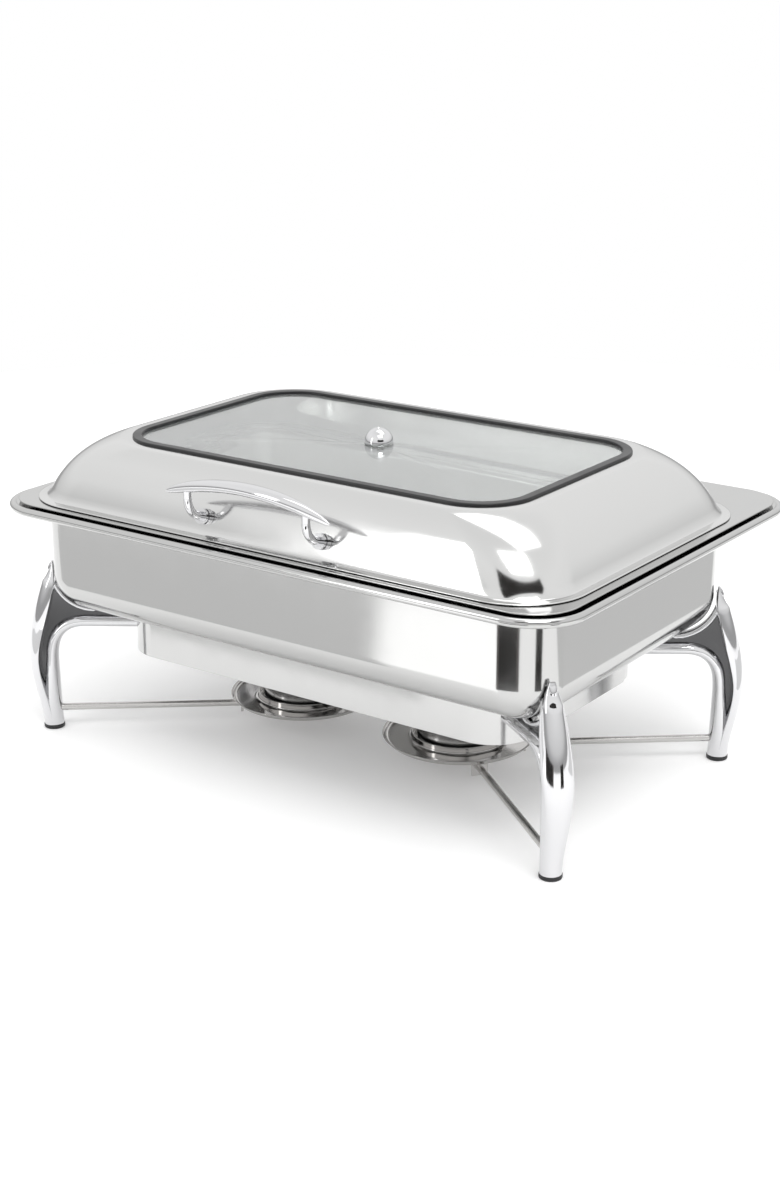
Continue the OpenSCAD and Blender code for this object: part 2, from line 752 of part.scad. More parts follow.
// The lid's steel: a curved side between flange and crown, with the window cut out.
module dome(grow, drop) {
    steps = 7;
    slice = 0.2;
    hull() {
        for (i = [0:steps]) let(t = i / steps, k = curve(t, side_run))
            translate([0, 0, dome_z + dome_h * curve(t, side_rise) - drop - slice])
                linear_extrude(slice) rounded(dome_hx - dome_run_x * k + grow,
                    dome_hy - dome_run_y * k + grow, dome_r + (crown_r - dome_r) * k + grow, $fn = 40);
        translate([0, 0, dome_z - lid_t - drop]) linear_extrude(slice)
            rounded(dome_hx + grow, dome_hy + grow, dome_r + grow, $fn = 40);
    }
}

module lid_shell() {
    color(steel) placed() difference() {
        union() {
            dome(0, 0);
            translate([0, 0, lid_z]) linear_extrude(lid_t) rounded(flange_hx, flange_hy, flange_r);
        }
        dome(-lid_t, lid_t);
        translate([0, 0, crown_z - 10]) linear_extrude(20)
            rounded(seal_hx - 4, seal_hy - 4, seal_r - 4);
        at_posts() translate([0, 0, -15]) cylinder(r = screw_r + 0.1, h = 20);
        at_rivets() cylinder(r = 1.6, h = 30, center = true);
    }
}

// The seal's section hooks over the crown's edge and holds the glass in its groove.
module window_seal() {
    low = crown_z - lid_t - 2.2;
    groove = crown_z - 0.8;
    color(dark) placed() carried(seal_hx - seal_r, seal_hy - seal_r) difference() {
        union() {
            translate([seal_r - seal_w, crown_z]) square([seal_w, seal_top]);
            translate([seal_r - seal_w, low]) square([seal_w, 2.2]);
            translate([seal_r - seal_w, groove - glass_t - 1.4])
                square([seal_w - 4, seal_top + glass_t + 2.2]);
        }
        translate([seal_r - seal_w - 1, groove - glass_t]) square([3.5, glass_t]);
    }
}

glass_top = crown_z - 0.8;
module window_glass() {
    edge = seal_w - 2.4;
    color([0.75, 0.85, 0.85, 0.35]) placed()
        translate([0, 0, glass_top - glass_t]) linear_extrude(glass_t) difference() {
            rounded(seal_hx - edge, seal_hy - edge, seal_r - edge);
            circle(3.2);
        }
}

// The knob is a hollow half ball with a steam hole in its crown.
module vent_knob() {
    color(chrome) placed() translate([0, 0, glass_top]) difference() {
        union() {
            intersection() {
                translate([0, 0, 1.4]) sphere(vent_r);
                cylinder(r = vent_r + 1, h = vent_r + 3);
            }
            translate([0, 0, -glass_t - 6]) cylinder(r = 3, h = glass_t + 7);
        }
        translate([0, 0, -glass_t - 7]) cylinder(r = 1.2, h = vent_r + glass_t + 12);
    }
}

module vent_nut() {
    color(steel) placed() translate([0, 0, glass_top - glass_t - 4]) difference() {
        union() {
            cylinder(r = 6, h = 3, $fn = 6);
            translate([0, 0, 3 - eps]) cylinder(r = 8, h = 1);
        }
        translate([0, 0, -1]) cylinder(r = 3, h = 8);
    }
}

// Handle: the posts' own frame has +Z square to the lid's front, outward.
module at_posts() {
    for (s = [-1, 1]) at_post(s) children();
}

module at_post(s) {
    translate([s * post_span / 2, -post_y, post_z]) rotate([90 - post_tilt, 0, 0]) children();
}

module handle_post(s) {
    color(chrome) placed() difference() {
        union() {
            at_post(s) {
                translate([0, 0, post_gap])
                    cylinder(r = post_r + post_shoulder, h = collar_l + post_shoulder);
                translate([0, post_bend, post_stub]) rotate([0, 90, 0])
                    rotate([0, 0, 270 - post_turn]) rotate_extrude(angle = post_turn)
                        translate([post_bend, 0]) circle(post_r);
            }
            translate([s * post_span / 2, -bar_y, post_bend_z - 1])
                cylinder(r = tenon_r, h = post_rise + 1);
        }
        at_post(s) cylinder(r = screw_r, h = 8);
    }
}

// Two raised rings where each post meets the lid.
module handle_collars() {
    color(chrome) placed() for (s = [-1, 1]) at_post(s) difference() {
        union() {
            translate([0, 0, post_gap]) cylinder(r = collar_rim, h = 2.6);
            translate([0, 0, 2]) cylinder(r = collar_rim - 1.6, h = 3);
            translate([0, 0, 4]) cylinder(r = collar_rim - 0.4, h = 2.6);
        }
        cylinder(r = post_r + post_shoulder, h = 12);
    }
}

module handle_screws() {
    color(steel) placed() at_posts() {
        translate([0, 0, -lid_t - 0.6]) cylinder(r = screw_r, h = lid_t + 8);
        translate([0, 0, -lid_t - 3.4]) cylinder(r = 4.5, h = 2.8);
    }
}

// The bar is an arch seen from the front and a pointed leaf seen from above.
module handle_bar() {
    leaf_r = (pow(bar_l / 2, 2) + pow(bar_w / 2, 2)) / bar_w;
    color(chrome) placed() difference() {
        intersection() {
            translate([0, -bar_y + bar_w, bar_mid_z - bar_radius]) rotate([90, 0, 0])
                linear_extrude(2 * bar_w) difference() {
                    circle(bar_radius + bar_t / 2, $fn = 360);
                    circle(bar_radius - bar_t / 2, $fn = 360);
                }
            translate([0, -bar_y, bar_mid_z - bar_droop - bar_t])
                linear_extrude(bar_droop + 2 * bar_t) intersection() {
                    translate([0, leaf_r - bar_w / 2]) circle(leaf_r, $fn = 360);
                    translate([0, bar_w / 2 - leaf_r]) circle(leaf_r, $fn = 360);
                }
        }
        for (s = [-1, 1]) translate([s * post_span / 2, -bar_y, post_top_z - 20])
            cylinder(r = tenon_r, h = 20);
    }
}

apron_front();
apron_rear();
corner_clamps();
clamp_screws();
leg_bolts();
leg(-1, -1);  // leg_front_left
leg(1, -1);  // leg_front_right
leg(-1, 1);  // leg_rear_left
leg(1, 1);  // leg_rear_right
foot(-1, -1);  // foot_front_left
foot(1, -1);  // foot_front_right
foot(-1, 1);  // foot_rear_left
foot(1, 1);  // foot_rear_right
brace(-1, -1);  // brace_front_left
brace(1, -1);  // brace_front_right
brace(-1, 1);  // brace_rear_left
brace(1, 1);  // brace_rear_right
brace_tabs();
tray(-1);  // tray_left
tray(1);  // tray_right
fuel_cup(-1);  // fuel_cup_left
fuel_cup(1);  // fuel_cup_right
flame_cover(-1);  // flame_cover_left
flame_cover(1);  // flame_cover_right
water_pan();
cover_frame();
food_pan();
hinge_housing();
hinge_brackets();
hinge_damper();
bracket_screws();
housing_screws();
hinge_pin();
lid_arm(-1);  // lid_arm_left
lid_arm(1);  // lid_arm_right
arm_rivets();
lid_shell();
window_seal();
window_glass();
vent_knob();
vent_nut();
handle_bar();
handle_post(-1);  // handle_post_left
handle_post(1);  // handle_post_right
handle_collars();
handle_screws();
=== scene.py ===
from math import asin, atan2, cos, degrees, hypot, pi, radians, sin

import bmesh
import bpy
from mathutils import Matrix, Vector


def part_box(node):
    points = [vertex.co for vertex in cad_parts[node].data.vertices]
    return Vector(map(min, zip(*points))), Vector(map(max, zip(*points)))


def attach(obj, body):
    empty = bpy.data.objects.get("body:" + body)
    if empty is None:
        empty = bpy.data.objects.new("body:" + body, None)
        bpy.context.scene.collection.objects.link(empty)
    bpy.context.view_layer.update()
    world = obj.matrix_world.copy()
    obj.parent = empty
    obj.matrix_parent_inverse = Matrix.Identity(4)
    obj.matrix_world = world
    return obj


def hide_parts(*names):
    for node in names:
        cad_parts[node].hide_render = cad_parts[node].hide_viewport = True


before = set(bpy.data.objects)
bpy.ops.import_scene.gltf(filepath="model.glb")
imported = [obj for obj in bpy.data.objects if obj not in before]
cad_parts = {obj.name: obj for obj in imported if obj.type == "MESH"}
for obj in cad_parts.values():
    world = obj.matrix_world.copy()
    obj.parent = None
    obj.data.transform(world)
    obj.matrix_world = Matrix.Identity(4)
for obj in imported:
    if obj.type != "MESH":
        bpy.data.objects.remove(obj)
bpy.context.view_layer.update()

# The studio: a sheet of white paper under the dish, a bright room and three soft boxes. Black
# cards stand close to the dish and lit ones lie on the paper, as they do when chrome is shot.
# Only mirrors see the cards.
camera_at = Vector((0.99775, -1.41586, 0.72447))
camera_back = Vector((0.54699, -0.77246, 0.32266)).normalized()
camera_right = Vector((-camera_back.y, camera_back.x, 0)).normalized()
camera_up = camera_back.cross(camera_right)
camera_turn = Matrix((camera_right, camera_up, camera_back)).transposed()

camera = bpy.data.objects.new("camera", bpy.data.cameras.new("camera"))
camera.matrix_world = Matrix.Translation(camera_at) @ camera_turn.to_4x4()
camera.data.sensor_fit = "HORIZONTAL"
camera.data.sensor_width = 36
camera.data.lens = 92.05
camera.data.clip_end = 50
bpy.context.collection.objects.link(camera)
bpy.context.scene.camera = camera
bpy.context.scene.view_settings.view_transform = "Standard"

room = bpy.data.worlds.new("room")
room.use_nodes = True
room_tree = room.node_tree
backdrop = room_tree.nodes["Background"]
direction = room_tree.nodes.new("ShaderNodeTexCoord")
height = room_tree.nodes.new("ShaderNodeSeparateXYZ")
walls = room_tree.nodes.new("ShaderNodeValToRGB")
seen = room_tree.nodes.new("ShaderNodeLightPath")
mix = room_tree.nodes.new("ShaderNodeMix")
mix.data_type = "RGBA"
mix.inputs["B"].default_value = (1, 1, 1, 1)
wall_stops = walls.color_ramp.elements
wall_stops[0].color = (0.45, 0.45, 0.45, 1)
for position, shade in ((0.08, 0.8), (0.3, 1.05), (0.6, 1.1)):
    stop = wall_stops.new(position)
    stop.color = (shade, shade, shade, 1)
room_tree.links.new(direction.outputs["Generated"], height.inputs["Vector"])
room_tree.links.new(height.outputs["Z"], walls.inputs["Fac"])
room_tree.links.new(walls.outputs["Color"], mix.inputs["A"])
room_tree.links.new(seen.outputs["Is Camera Ray"], mix.inputs["Factor"])
room_tree.links.new(mix.outputs["Result"], backdrop.inputs["Color"])
bpy.context.scene.world = room


def plain_finish(name, colour, roughness):
    finish = bpy.data.materials.new(name)
    finish.use_nodes = True
    shader = finish.node_tree.nodes["Principled BSDF"]
    shader.inputs["Base Color"].default_value = (*colour, 1)
    shader.inputs["Roughness"].default_value = roughness
    return finish


def lit(finish, strength):
    """Makes a finish shine white by itself."""
    shader = finish.node_tree.nodes["Principled BSDF"]
    shader.inputs["Emission Color"].default_value = (1, 1, 1, 1)
    shader.inputs["Emission Strength"].default_value = strength
    return finish


def studio_sheet(name, points, faces, finish):
    mesh = bpy.data.meshes.new(name)
    mesh.from_pydata(points, [], faces)
    mesh.materials.append(finish)
    sheet = bpy.data.objects.new(name, mesh)
    bpy.context.collection.objects.link(sheet)
    return sheet


floor_r = 1.7
floor_steps = 64
paper = lit(plain_finish("white_paper", (0.94, 0.94, 0.94), 0.9), 0.12)
paper_edge = [(floor_r * cos(2 * pi * i / floor_steps), floor_r * sin(2 * pi * i / floor_steps), 0)
              for i in range(floor_steps)]
studio_sheet("paper_floor", paper_edge, [tuple(range(floor_steps))], paper)

card_finish = plain_finish("black_card", (0.012, 0.010, 0.009), 0.9)
shade_finish = plain_finish("grey_card", (0.10, 0.09, 0.085), 0.9)
card_at = Vector((0.24, -0.18))
card_r = 0.38
card_h = 0.1


def hide_from_camera(card):
    card.visible_camera = False
    card.visible_diffuse = False
    card.visible_shadow = False


def card_round(name, start, end, low, high, finish):
    """A curved card about card_at. Its angles run from straight ahead towards the right."""
    steps = 8
    ways = [radians(start + (end - start) * i / steps) for i in range(steps + 1)]
    points = [(card_at.x + card_r * sin(way), card_at.y - card_r * cos(way), z)
              for z in (low, high) for way in ways]
    faces = [(i, i + 1, steps + i + 2, steps + i + 1) for i in range(steps)]
    hide_from_camera(studio_sheet(name, points, faces, finish))


card_round("front_card", -21, 22, 0, card_h, card_finish)
card_round("front_card_edge", -27, -21, 0, card_h, shade_finish)
card_round("front_card_side", 22, 28, 0, card_h, shade_finish)
card_round("side_card", 66, 82, 0, card_h, card_finish)
card_round("lid_card", 0, 86, 0.42, 0.62, card_finish)


def floor_card(name, outline, finish):
    """A flat card just above the paper."""
    points = [(x, y, 0.002) for x, y in outline]
    hide_from_camera(studio_sheet(name, points, [tuple(range(len(points)))], finish))


white_lit = lit(plain_finish("white_card", (0, 0, 0), 0.9), 1.9)
grey_lit = lit(plain_finish("grey_lit_card", (0, 0, 0), 0.9), 0.86)
floor_card("white_reflector", [(-0.06, -0.43), (0.14, -0.43), (-0.05, -0.72), (-0.26, -0.72)], white_lit)
floor_card("left_reflector", [(-0.02, -0.36), (-0.26, -0.72), (-0.9, -0.72), (-0.9, -0.36)], grey_lit)
floor_card("right_reflector", [(0.42, 0.10), (0.95, 0.10), (0.95, 0.75), (0.42, 0.75)], grey_lit)

dish_middle = Vector((0, 0, 0.15))
for name, place, wide, tall, power in (("front_box", (-0.98, -1.87, 0.9), 0.26, 1.3, 3.4),
                                       ("right_box", (1.0, -0.78, 2.25), 1.1, 0.8, 19),
                                       ("top_box", (0.1, 0.5, 2.4), 1.8, 1.0, 10)):
    lamp = bpy.data.lights.new(name, "AREA")
    lamp.shape = "RECTANGLE"
    lamp.size = wide
    lamp.size_y = tall
    lamp.energy = power
    soft_box = bpy.data.objects.new(name, lamp)
    soft_box.location = place
    soft_box.rotation_euler = (dish_middle - Vector(place)).to_track_quat("-Z", "Y").to_euler()
    bpy.context.collection.objects.link(soft_box)

# Feet: four black rubber caps pushed on a plug in the end of each leg. Each is moulded with
# a small round at its edge and a shallow groove where it meets the chrome.
lid_low, lid_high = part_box("lid_shell")
dish_y = (lid_low.y + lid_high.y) / 2
corners = {"front_left": (-1, -1), "front_right": (1, -1), "rear_left": (-1, 1), "rear_right": (1, 1)}


def textured(name, colour, metallic, roughness, rough_spread, wave, grain, grain_size):
    """A finish with uneven gloss, a slow wave in its surface and a fine grain, all in metres."""
    finish = plain_finish(name, colour, roughness)
    tree = finish.node_tree
    shader = tree.nodes["Principled BSDF"]
    shader.inputs["Metallic"].default_value = metallic
    place = tree.nodes.new("ShaderNodeTexCoord")
    clouds = tree.nodes.new("ShaderNodeTexNoise")
    clouds.inputs["Scale"].default_value = 28
    clouds.inputs["Detail"].default_value = 5
    gloss = tree.nodes.new("ShaderNodeMapRange")
    gloss.inputs["From Min"].default_value = 0.3
    gloss.inputs["From Max"].default_value = 0.7
    gloss.inputs["To Min"].default_value = roughness
    gloss.inputs["To Max"].default_value = roughness + rough_spread
    slow = tree.nodes.new("ShaderNodeTexNoise")
    slow.inputs["Scale"].default_value = 7
    slow.inputs["Detail"].default_value = 1
    fine = tree.nodes.new("ShaderNodeTexNoise")
    fine.inputs["Scale"].default_value = 1 / grain_size
    fine.inputs["Detail"].default_value = 2
    slow_bump = tree.nodes.new("ShaderNodeBump")
    slow_bump.inputs["Distance"].default_value = wave
    fine_bump = tree.nodes.new("ShaderNodeBump")
    fine_bump.inputs["Distance"].default_value = grain
    for noise in (clouds, slow, fine):
        tree.links.new(place.outputs["Object"], noise.inputs["Vector"])
    tree.links.new(clouds.outputs["Fac"], gloss.inputs["Value"])
    tree.links.new(gloss.outputs["Result"], shader.inputs["Roughness"])
    tree.links.new(slow.outputs["Fac"], slow_bump.inputs["Height"])
    tree.links.new(fine.outputs["Fac"], fine_bump.inputs["Height"])
    tree.links.new(slow_bump.outputs["Normal"], fine_bump.inputs["Normal"])
    tree.links.new(fine_bump.outputs["Normal"], shader.inputs["Normal"])
    return finish


def piece_from(name, points, faces, finish, body, nodes, edge=0.0):
    """Makes a piece from points and faces. An edge value rounds its corners by that much."""
    mesh = bpy.data.meshes.new(name)
    mesh.from_pydata(points, [], faces)
    work = bmesh.new()
    work.from_mesh(mesh)
    bmesh.ops.remove_doubles(work, verts=work.verts, dist=1e-6)
    bmesh.ops.recalc_face_normals(work, faces=work.faces)
    work.to_mesh(mesh)
    work.free()
    mesh.shade_smooth()
    mesh.materials.append(finish)
    piece = bpy.data.objects.new(name, mesh)
    bpy.context.collection.objects.link(piece)
    if edge:
        rounding = piece.modifiers.new("round_edges", "BEVEL")
        rounding.width = edge
        rounding.segments = 3
        rounding.limit_method = "ANGLE"
        rounding.angle_limit = radians(32)
    flats = piece.modifiers.new("flat_faces", "WEIGHTED_NORMAL")
    flats.keep_sharp = True
    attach(piece, body)
    if nodes:
        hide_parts(*nodes)
    return piece


def skin(rings, closed):
    """Faces between rings of points, joined end to start when closed, or capped when not."""
    count = len(rings[0])
    points = [point for ring in rings for point in ring]
    faces = []
    for i in range(len(rings) if closed else len(rings) - 1):
        here = i * count
        there = (i + 1) % len(rings) * count
        for j in range(count):
            k = (j + 1) % count
            faces.append((here + j, here + k, there + k, there + j))
    if not closed:
        faces.append(tuple(range(count)))
        faces.append(tuple(range(len(points) - count, len(points))))
    return points, faces


def turned(section, x, y, steps=96):
    """Rings for a section of (radius, height) points turned about an upright axis at x, y."""
    return [[(x + r * cos(2 * pi * k / steps), y + r * sin(2 * pi * k / steps), z) for k in range(steps)]
            for r, z in section]


def arc(x, z, radius, start, end, steps=8):
    """Points of an arc, with its angles in degrees."""
    return [(x + radius * cos(radians(start + (end - start) * i / steps)),
             z + radius * sin(radians(start + (end - start) * i / steps))) for i in range(steps + 1)]


rubber = textured("rubber_cap", (0.012, 0.012, 0.013), 0, 0.42, 0.2, 0.0, 0.00002, 0.0007)
cap_top = 0.004
cap_round = 0.0012
cap_lip = 0.0006
foot_mid = {}
for corner in corners:
    node = "foot_" + corner
    low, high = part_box(node)
    foot_mid[corner] = (low + high) / 2
    cap_r = (high.x - low.x) / 2
    section = arc(cap_r - cap_round, cap_round, cap_round, -90, 0)
    section += arc(cap_r - cap_lip, cap_top - cap_lip, cap_lip, 0, 90, 4)
    section += [(0.0042, cap_top), (0.0038, cap_top + 0.002), (0.0036, high.z - 0.001), (0.0028, high.z)]
    points, faces = skin(turned(section, foot_mid[corner].x, foot_mid[corner].y, 64), False)
    piece_from("rubber_cap_" + corner, points, faces, rubber, "stand", [node])

# Legs: four chromed castings. A leaf-shaped blade stands outside, a round bar rises behind it
# and bends into the arm that is bolted to the apron's corner. The recess between them is
# closed by a thin web and edged by a rim that follows the pan's round corner. The web is
# coloured a darker chrome, a painted dark reflection in the scoop.
chrome = textured("leg_chrome", (0.68, 0.68, 0.69), 1, 0.045, 0.05, 0.0, 0.0000015, 0.0012)
apron_low, apron_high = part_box("apron_front")
bend_r = 0.040
bend_x = apron_high.x - bend_r
bend_y = dish_y - apron_low.y - bend_r
foot_r = 0.0093
leg_foot = 0.0042
foot_out = foot_mid["rear_right"]
leg_run = hypot(foot_out.x - bend_x, foot_out.y - dish_y - bend_y)
leg_angle = atan2(foot_out.y - dish_y - bend_y, foot_out.x - bend_x)
apron_top = apron_high.z
tip_z = apron_top + 0.041
saddle = Vector((-0.0434, apron_top + 0.0332))
saddle_r = 0.0358


def curve_through(a, b, c, d, steps):
    """Points of one Bezier curve, without its last point."""
    return [a * (1 - t) ** 3 + b * 3 * t * (1 - t) ** 2 + c * 3 * t * t * (1 - t) + d * t ** 3
            for t in [i / steps for i in range(steps)]]


def section_loop(centre, along, half_wide, out_thick, in_thick, steps=32):
    """A closed loop square to a path in the leg's own plane, half an ellipse to each side of it."""
    out = Vector((along.y, -along.x))
    loop = []
    for k in range(steps):
        a = 2 * pi * k / steps
        lift = sin(a) * (out_thick if sin(a) > 0 else in_thick)
        loop.append((centre.x + out.x * lift, cos(a) * half_wide, centre.y + out.y * lift))
    return loop


def along_path(path, sizes):
    """Loops along a path, from a (half width, outer thickness, inner thickness) for each point."""
    rings = []
    for i, (centre, size) in enumerate(zip(path, sizes)):
        along = (path[min(i + 1, len(path) - 1)] - path[max(i - 1, 0)]).normalized()
        rings.append(section_loop(centre, along, *size))
    return rings


def leg_mesh():
    # The blade's back edge leans out to its belly and in to its tip. Its crown bulges from it.
    arm_z = apron_top - 0.0172
    rim_z = apron_top - 0.0036
    foot_at = Vector((0, leg_foot))
    belly_at = Vector((0.0098, 0.066))
    neck_at = Vector((-0.0072, tip_z - 0.021))
    tip_at = Vector((-0.0062, tip_z - 0.0008))
    edge = curve_through(foot_at, Vector((0.0010, 0.024)), Vector((0.0092, 0.044)), belly_at, 20)
    edge += curve_through(belly_at, Vector((0.0104, 0.088)), Vector((-0.0020, 0.114)), neck_at, 22)
    edge += curve_through(neck_at, neck_at + Vector((-0.0010, 0.006)), tip_at - Vector((0.0010, 0.006)),
                          tip_at, 8)
    edge.append(tip_at)
    foot_shape = Vector((foot_r, foot_r))
    belly_shape = Vector((0.0124, 0.0094))
    neck_shape = Vector((0.0094, 0.0110))
    tip_shape = Vector((0.0026, 0.0012))
    shape = curve_through(foot_shape, Vector((0.0094, 0.0082)), Vector((0.0112, 0.0084)), belly_shape, 20)
    shape += curve_through(belly_shape, Vector((0.0150, 0.0116)), Vector((0.0142, 0.0162)), neck_shape, 22)
    shape += curve_through(neck_shape, Vector((0.0078, 0.0082)), Vector((0.0050, 0.0040)), tip_shape, 8)
    shape.append(tip_shape)
    blade_back = 0.0012
    blade = along_path(edge, [(half_wide, crown, blade_back) for half_wide, crown in shape])
    # The bar starts round at the foot, thins as it climbs and bends into the arm.
    arm_end = -(leg_run - bend_r) - 0.0012
    bar = curve_through(foot_at, Vector((0, 0.030)), Vector((-0.0008, 0.055)), Vector((-0.0022, 0.076)), 18)
    bar += curve_through(Vector((-0.0022, 0.076)), Vector((-0.0036, 0.094)), Vector((-0.0135, arm_z)),
                         Vector((-0.034, arm_z)), 18)
    bar += [Vector((-0.034, arm_z)), Vector((-0.055, arm_z)), Vector((arm_end, arm_z))]
    thins = [foot_r - 0.0034 * min(1, 2.4 * i / len(bar)) for i in range(len(bar))]
    rods = along_path(bar, [(0.0088 + 0.0005 * thin / foot_r, thin, thin) for thin in thins])
    # The rim follows the pan's round corner from the arm up to the tip, and narrows on its way.
    rim_steps = 22
    rim_r = saddle_r + 0.0031
    rim_t = 0.0030
    rim = [Vector((arm_end, rim_z)), Vector((saddle.x - 0.006, rim_z))]
    for i in range(rim_steps + 1):
        a = radians(90 * i / rim_steps)
        rim.append(saddle + Vector((sin(a), -cos(a))) * rim_r)
    rim.append(Vector((saddle.x + saddle_r + 0.0012, tip_z - 0.004)))
    rims = along_path(rim, [(0.0064 - 0.0030 * i / len(rim), rim_t, rim_t) for i in range(len(rim))])
    # The web fills the space between them, up to where the rim meets the blade.
    outline = bar[3:] + rim[:17] + edge[41:2:-1]
    half_web = 0.0024
    count = len(outline)
    web = [(p.x, s * half_web, p.y) for s in (-1, 1) for p in outline]
    web_faces = [tuple(range(count)), tuple(range(2 * count - 1, count - 1, -1))]
    web_faces += [(i, (i + 1) % count, count + (i + 1) % count, count + i) for i in range(count)]
    # The web's faces take the second finish, a darker chrome that paints the scoop's dark reflection.
    polished = 0
    painted_dark_reflection = 1
    work = bmesh.new()
    for surface, (points, faces) in ((polished, skin(blade, False)), (polished, skin(rods, False)),
                                     (polished, skin(rims, False)), (painted_dark_reflection, (web, web_faces))):
        made = [work.verts.new(point) for point in points]
        for face in faces:
            side = work.faces.new([made[i] for i in face])
            side.material_index = surface
            side.smooth = surface == polished and len(face) == 4
    caps = [side for side in work.faces if len(side.verts) > 4]
    bmesh.ops.triangulate(work, faces=caps, ngon_method="EAR_CLIP")
    bmesh.ops.recalc_face_normals(work, faces=work.faces)
    mesh = bpy.data.meshes.new("leg_blank")
    work.to_mesh(mesh)
    work.free()
    return mesh


# Darker chrome for the web: a painted dark reflection standing in for what the scoop mirrors.
recess = textured("leg_recess_painted_dark", (0.09, 0.09, 0.092), 1, 0.12, 0.12, 0.0, 0.000006, 0.0008)
cast = leg_mesh()
for corner, (side_x, side_y) in corners.items():
    mesh = cast.copy()
    mesh.name = "leg_" + corner
    turn = side_y * (pi / 2 - side_x * (pi / 2 - leg_angle))
    foot_place = Matrix.Translation((foot_mid[corner].x, foot_mid[corner].y, 0))
    mesh.transform(foot_place @ Matrix.Rotation(turn, 4, "Z"))
    mesh.materials.append(chrome)
    mesh.materials.append(recess)
    leg = bpy.data.objects.new("cast_leg_" + corner, mesh)
    bpy.context.collection.objects.link(leg)
    flats = leg.modifiers.new("flat_faces", "WEIGHTED_NORMAL")
    flats.keep_sharp = True
    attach(leg, "stand")
    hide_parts("leg_" + corner)

# Braces: four round steel rods, one from each foot to a small plate under the nearer tray.
# The plates are welded to the trays, and each rod to its plate.
rod_steel = textured("rod_steel", (0.55, 0.54, 0.53), 1, 0.16, 0.1, 0.0, 0.000004, 0.0009)


def dress(finish, *nodes):
    """Gives CAD pieces a finish."""
    for node in nodes:
        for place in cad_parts[node].material_slots:
            place.material = finish


dress(rod_steel, "brace_tabs")
rod_sides = 32
rod_inset = 0.55
rod_round = 0.0004
for corner, (side_x, side_y) in corners.items():
    low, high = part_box("brace_" + corner)
    rod_r = (high.z - low.z) / 2
    rod_z = (high.z + low.z) / 2
    tray_end = Vector((low.x if side_x > 0 else high.x, low.y if side_y > 0 else high.y, rod_z))
    foot_end = Vector((high.x if side_x > 0 else low.x, high.y if side_y > 0 else low.y, rod_z))
    along = (foot_end - tray_end).normalized()
    across = Vector((-along.y, along.x, 0))
    start = tray_end + along * rod_r * rod_inset
    finish_at = foot_end - along * rod_r * rod_inset
    rings = []
    for centre, r in ((start, rod_r * 0.88), (start + along * rod_round, rod_r), (finish_at, rod_r)):
        turns = [2 * pi * k / rod_sides for k in range(rod_sides)]
        rings.append([centre + across * (r * cos(a)) + Vector((0, 0, r * sin(a))) for a in turns])
    points, faces = skin(rings, False)
    piece_from("brace_rod_" + corner, points, faces, rod_steel, "stand", ["brace_" + corner])

# Apron: two bent strips of polished steel that lap at the ends and close the burner's box.
# Each corner has a curved clamp inside it, a leg bolt and a small dome-headed screw.
apron_steel = textured("apron_steel", (0.56, 0.56, 0.555), 1, 0.09, 0.06, 0.00012, 0.000002, 0.0011)
apron_t = 0.002
apron_z = apron_low.z


def bent_strip(inset, end_y, facing):
    """A strip round one long side and its two corners, as rings of four points."""
    out_r = bend_r - inset
    bend_steps = 20
    right_bend = [pi / 2 * i / bend_steps for i in range(bend_steps + 1)]
    left_bend = [pi / 2 * (1 + i / bend_steps) for i in range(bend_steps + 1)]
    path = [(bend_x + out_r, end_y, 0)]
    path += [(bend_x + out_r * cos(a), bend_y + out_r * sin(a), a) for a in right_bend]
    path += [(-bend_x + out_r * cos(a), bend_y + out_r * sin(a), a) for a in left_bend]
    path += [(-bend_x - out_r, end_y, pi)]
    rings = []
    for x, y, a in path:
        out_y = facing * y + dish_y
        in_x = x - apron_t * cos(a)
        in_y = facing * (y - apron_t * sin(a)) + dish_y
        outer = [(x, out_y, apron_z), (x, out_y, apron_top)]
        inner = [(in_x, in_y, apron_top), (in_x, in_y, apron_z)]
        rings.append(outer + inner)
    return rings


lap = 0.020
lap_gap = 0.0001
strip_end = bend_y - 0.001
strip_edge = 0.0005
points, faces = skin(bent_strip(0, -strip_end, -1), False)
piece_from("front_apron", points, faces, apron_steel, "stand", ["apron_front"], strip_edge)
points, faces = skin(bent_strip(apron_t + lap_gap, -(strip_end - lap), 1), False)
piece_from("rear_apron", points, faces, apron_steel, "stand", ["apron_rear"], strip_edge)
dress(rod_steel, "corner_clamps", "leg_bolts")
dress(chrome, "clamp_screws")

